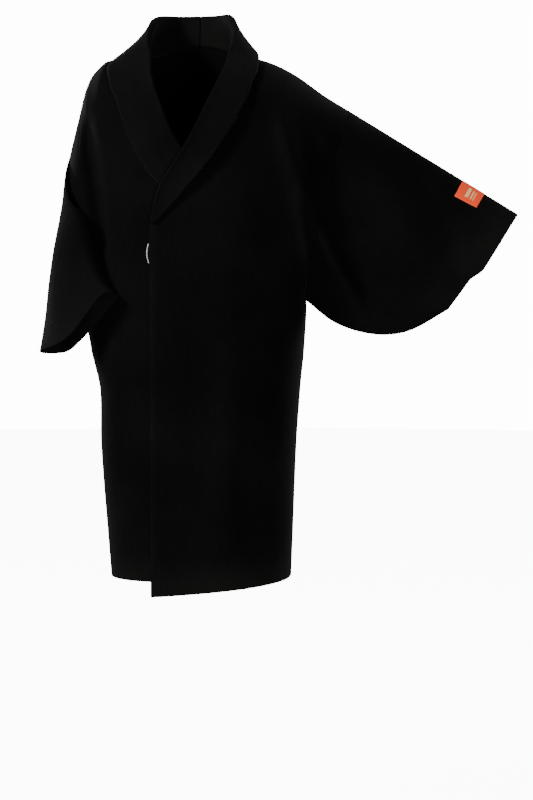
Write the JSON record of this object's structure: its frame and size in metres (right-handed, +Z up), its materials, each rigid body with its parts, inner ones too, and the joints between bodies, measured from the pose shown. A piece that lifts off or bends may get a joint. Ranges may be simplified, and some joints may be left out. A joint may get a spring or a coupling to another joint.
{
  "type": "kimono coat",
  "caption": "Long black wool kimono coat with wide sleeves, a rolled shawl collar and a lapped front, hollow as it is worn with one arm held out.",
  "frame": {"origin": "on the shoulder line in the middle of the neck, where the wearer carries the coat", "axes": "+X to the wearer's left, -Y to the front, +Z up"},
  "size_m": [0.897, 0.2704, 1.1029],
  "materials": {
    "wool": "matt, with a short soft nap",
    "label": "woven, slightly shiny",
    "loop": "matt cord"
  },
  "bodies": {
    "root": {"back_left": "wool", "back_right": "wool", "front_left": "wool", "front_right": "wool", "collar_left": "wool", "collar_right": "wool", "sleeve_left": "wool", "sleeve_right": "wool", "sleeve_label": "label", "front_loop": "loop"}
  },
  "joints": []
}
